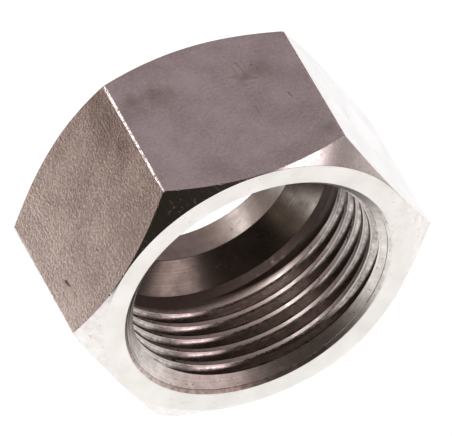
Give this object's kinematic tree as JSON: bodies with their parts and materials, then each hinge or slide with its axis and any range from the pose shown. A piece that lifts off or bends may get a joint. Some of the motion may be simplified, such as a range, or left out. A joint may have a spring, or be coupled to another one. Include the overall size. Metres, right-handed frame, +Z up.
{
  "type": "union nut",
  "caption": "Hexagonal union nut that clamps a cutting ring and a tube onto the threaded body of a compression fitting.",
  "frame": {"origin": "on the thread's axis, midway between the two end faces, which is the middle of the nut's box", "axes": "+Y along the axis, from the threaded mouth to the tube's side; +Z up, square to the flat opposite the one that the nut lies on; +X through a corner of the hexagon"},
  "size_m": [0.0414, 0.02, 0.036],
  "materials": {
    "steel": "bright drawn bar with turned ends, lightly worn"
  },
  "bodies": {
    "root": {"union_nut": "steel"}
  },
  "joints": []
}
